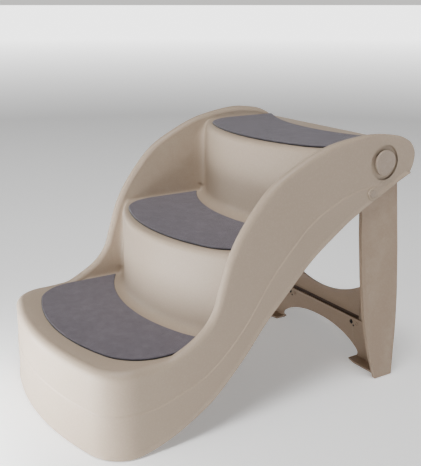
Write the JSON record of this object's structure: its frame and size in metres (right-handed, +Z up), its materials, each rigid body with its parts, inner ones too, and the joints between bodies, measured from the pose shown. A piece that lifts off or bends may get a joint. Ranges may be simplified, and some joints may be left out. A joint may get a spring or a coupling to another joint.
{
  "type": "folding pet stairs",
  "caption": "Moulded stairs for a small pet with bowed felt-covered treads, S-curved double side walls and a rear leg frame that folds under on round pivots beside lock buttons.",
  "frame": {"origin": "on the floor under the middle of the object's bounding box", "axes": "+X to the right of a pet that climbs, +Y the way it climbs, from the front of the bottom step to the rear legs, +Z up"},
  "size_m": [0.387, 0.5632, 0.4111],
  "materials": {
    "shell_plastic": "fine satin, light taupe",
    "leg_plastic": "fine satin, taupe",
    "button_plastic": "fine satin, taupe",
    "washer_plastic": "smooth, natural white",
    "retainer_plastic": "smooth, dark taupe",
    "mat_felt": "short felt, charcoal grey",
    "screw_steel": "blackened",
    "spring_steel": "bright",
    "pad_rubber": "matte black"
  },
  "bodies": {
    "shell": {"shell_bottom_step": "shell_plastic", "shell_middle_step": "shell_plastic", "shell_top_step": "shell_plastic", "shell_left_side": "shell_plastic", "shell_right_side": "shell_plastic", "tread_mat_bottom": "mat_felt", "tread_mat_middle": "mat_felt", "tread_mat_top": "mat_felt", "left_pivot_pin": "button_plastic", "right_pivot_pin": "button_plastic", "left_pivot_spacer": "washer_plastic", "right_pivot_spacer": "washer_plastic", "left_pivot_washer": "spring_steel", "right_pivot_washer": "spring_steel", "left_pivot_screw": "spring_steel", "right_pivot_screw": "spring_steel", "left_lock_spring": "spring_steel", "right_lock_spring": "spring_steel", "left_button_retainer": "retainer_plastic", "right_button_retainer": "retainer_plastic", "shell_foot_pads": "pad_rubber"},
    "leg_frame": {"left_leg": "leg_plastic", "right_leg": "leg_plastic", "upper_brace": "leg_plastic", "lower_brace": "leg_plastic", "brace_screws": "screw_steel", "leg_screws": "screw_steel", "leg_foot_pads": "pad_rubber"},
    "left_button": {"left_lock_button": "button_plastic"},
    "right_button": {"right_lock_button": "button_plastic"}
  },
  "joints": [
    {"name": "leg_fold", "type": "hinge", "parent": "shell", "child": "leg_frame", "pos_m": [0, 0.21775, 0.3665], "axis": [-1, 0, 0], "range_deg": [0, 50]},
    {"name": "left_button_press", "type": "slide", "parent": "shell", "child": "left_button", "axis": [1, 0, 0], "range_m": [0, 0.002], "stiffness_N_per_m": 800, "deforming": ["left_lock_spring"]},
    {"name": "right_button_press", "type": "slide", "parent": "shell", "child": "right_button", "axis": [-1, 0, 0], "range_m": [0, 0.002], "stiffness_N_per_m": 800, "deforming": ["right_lock_spring"]}
  ]
}
